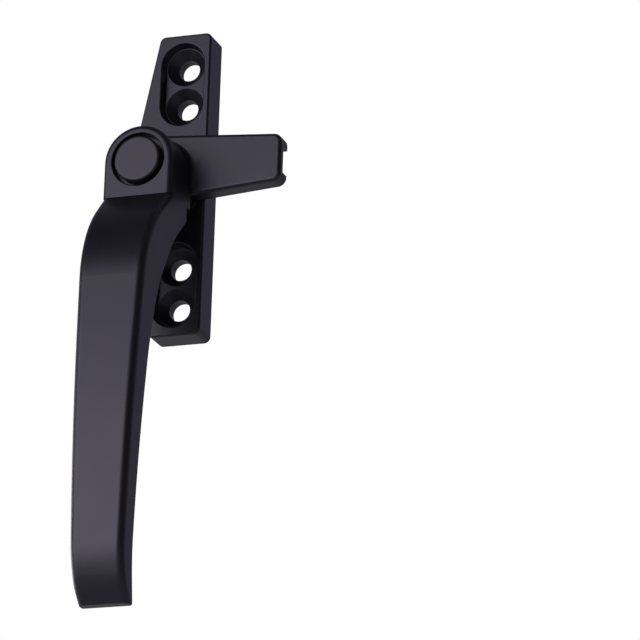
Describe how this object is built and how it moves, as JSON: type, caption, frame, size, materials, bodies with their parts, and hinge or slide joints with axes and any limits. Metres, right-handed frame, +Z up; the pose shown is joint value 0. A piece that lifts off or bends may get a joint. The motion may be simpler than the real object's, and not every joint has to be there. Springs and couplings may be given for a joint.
{
  "type": "window lock handle",
  "caption": "Left-hand casement window lock handle: a bowed hanging grip and a side locking tongue turn together on a tapered screw-on base plate.",
  "frame": {"origin": "on the handle's turning axis, on the back face of the base plate, where it lies on the window frame", "axes": "+Y into the window frame, along the turning axis, +Z up along the plate, +X towards the tongue; the grip hangs down along -Z and faces -Y"},
  "size_m": [0.047, 0.0453, 0.1679],
  "materials": {
    "black_coat": "satin black powder coat with a fine grain",
    "cap_plastic": "fine-grained black moulding",
    "black_nylon": "plain black nylon",
    "white_acetal": "plain natural acetal",
    "zinc_steel": "bright zinc plate",
    "spring_steel": "dark oiled spring steel"
  },
  "bodies": {
    "plate": {"base_plate": "black_coat", "pivot_pin": "zinc_steel", "stop_pin": "zinc_steel", "base_washer": "black_nylon", "thrust_washer": "zinc_steel", "disc_spring": "spring_steel", "retaining_washer": "zinc_steel", "lock_washer": "spring_steel", "pivot_screw": "zinc_steel"},
    "lever": {"handle": "black_coat", "pivot_bush": "white_acetal", "pivot_cap": "cap_plastic", "tongue_pad": "black_nylon"}
  },
  "joints": [
    {"name": "handle_turn", "type": "hinge", "parent": "plate", "child": "lever", "pos_m": [0, 0, 0], "axis": [0, 1, 0], "range_deg": [0, 90]}
  ]
}
